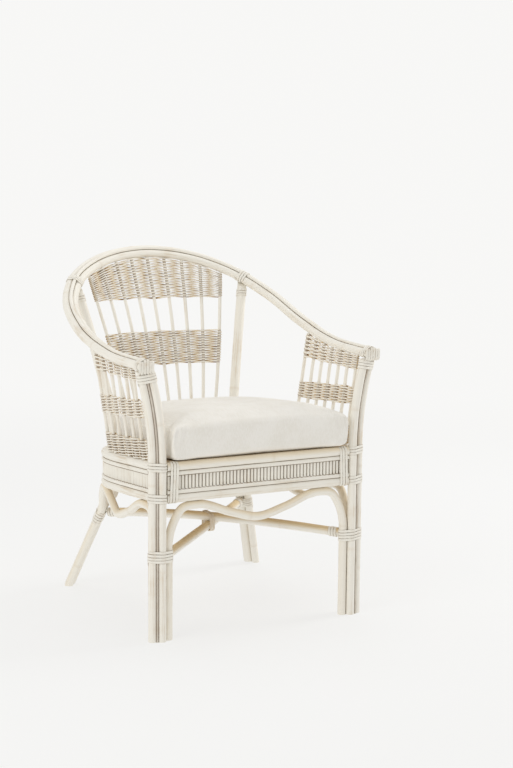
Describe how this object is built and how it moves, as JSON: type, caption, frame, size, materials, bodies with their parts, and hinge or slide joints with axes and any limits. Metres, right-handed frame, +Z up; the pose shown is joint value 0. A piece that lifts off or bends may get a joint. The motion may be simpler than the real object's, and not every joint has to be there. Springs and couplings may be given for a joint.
{
  "type": "rattan armchair",
  "caption": "Whitewashed rattan armchair: a horseshoe hoop forms arms and back over wicker panels, a reed-banded seat on bound pole legs with arches and crossed stretchers, and a loose cushion.",
  "frame": {"origin": "on the floor under the middle of the chair's footprint", "axes": "+X is the sitter's left, +Y points to the back, +Z up"},
  "size_m": [0.626, 0.6746, 0.8354],
  "materials": {
    "rattan": "whitewashed rattan pole, satin",
    "cane": "whitewashed flat cane strip, satin",
    "wicker": "woven wicker with a thin worn whitewash, matt",
    "board": "plain board, matt",
    "canvas": "cream canvas, matt",
    "foam": "soft seat foam, matt"
  },
  "bodies": {
    "frame": {"back_wicker_panel": "wicker", "front_arch_pole": "rattan", "high_stretcher": "rattan", "high_stretcher_front_binding": "cane", "high_stretcher_rear_binding": "cane", "hoop_groove_strip": "rattan", "hoop_inner_pole": "rattan", "hoop_outer_pole": "rattan", "left_arm_end_loops": "cane", "left_arm_post_binding": "cane", "left_arm_post_strip": "rattan", "left_back_post_binding": "cane", "left_front_leg_binding": "cane", "left_front_leg_middle_pole": "rattan", "left_front_leg_outer_pole": "rattan", "left_hoop_post_loops": "cane", "left_rear_leg_and_back_post": "rattan", "left_rear_leg_binding": "cane", "left_seat_bottom_binding": "cane", "left_seat_rail_binding": "cane", "left_seat_top_binding": "cane", "left_side_arch_pole": "rattan", "left_wicker_panel": "wicker", "low_stretcher": "rattan", "low_stretcher_front_binding": "cane", "low_stretcher_rear_binding": "cane", "right_arm_end_loops": "cane", "right_arm_post_binding": "cane", "right_arm_post_strip": "rattan", "right_back_post_binding": "cane", "right_front_leg_binding": "cane", "right_front_leg_middle_pole": "rattan", "right_front_leg_outer_pole": "rattan", "right_hoop_post_loops": "cane", "right_rear_leg_and_back_post": "rattan", "right_rear_leg_binding": "cane", "right_seat_bottom_binding": "cane", "right_seat_rail_binding": "cane", "right_seat_top_binding": "cane", "right_side_arch_pole": "rattan", "right_wicker_panel": "wicker", "seat_deck_board": "board", "seat_front_bearer": "rattan", "seat_front_bottom_rail": "rattan", "seat_front_lower_strip": "rattan", "seat_front_reeds": "rattan", "seat_front_top_rail": "rattan", "seat_front_upper_strip": "rattan", "seat_rear_bearer": "rattan", "seat_round_bottom_rail": "rattan", "seat_round_lower_strip": "rattan", "seat_round_reeds": "rattan", "seat_round_top_rail": "rattan", "seat_round_upper_strip": "rattan", "stretcher_cross_binding": "cane"},
    "cushion": {"cushion_cover": "canvas", "cushion_foam": "foam"}
  },
  "joints": [
    {"name": "cushion_lift", "type": "slide", "parent": "frame", "child": "cushion", "axis": [0, 0, 1], "range_m": [0, 0.46]}
  ]
}
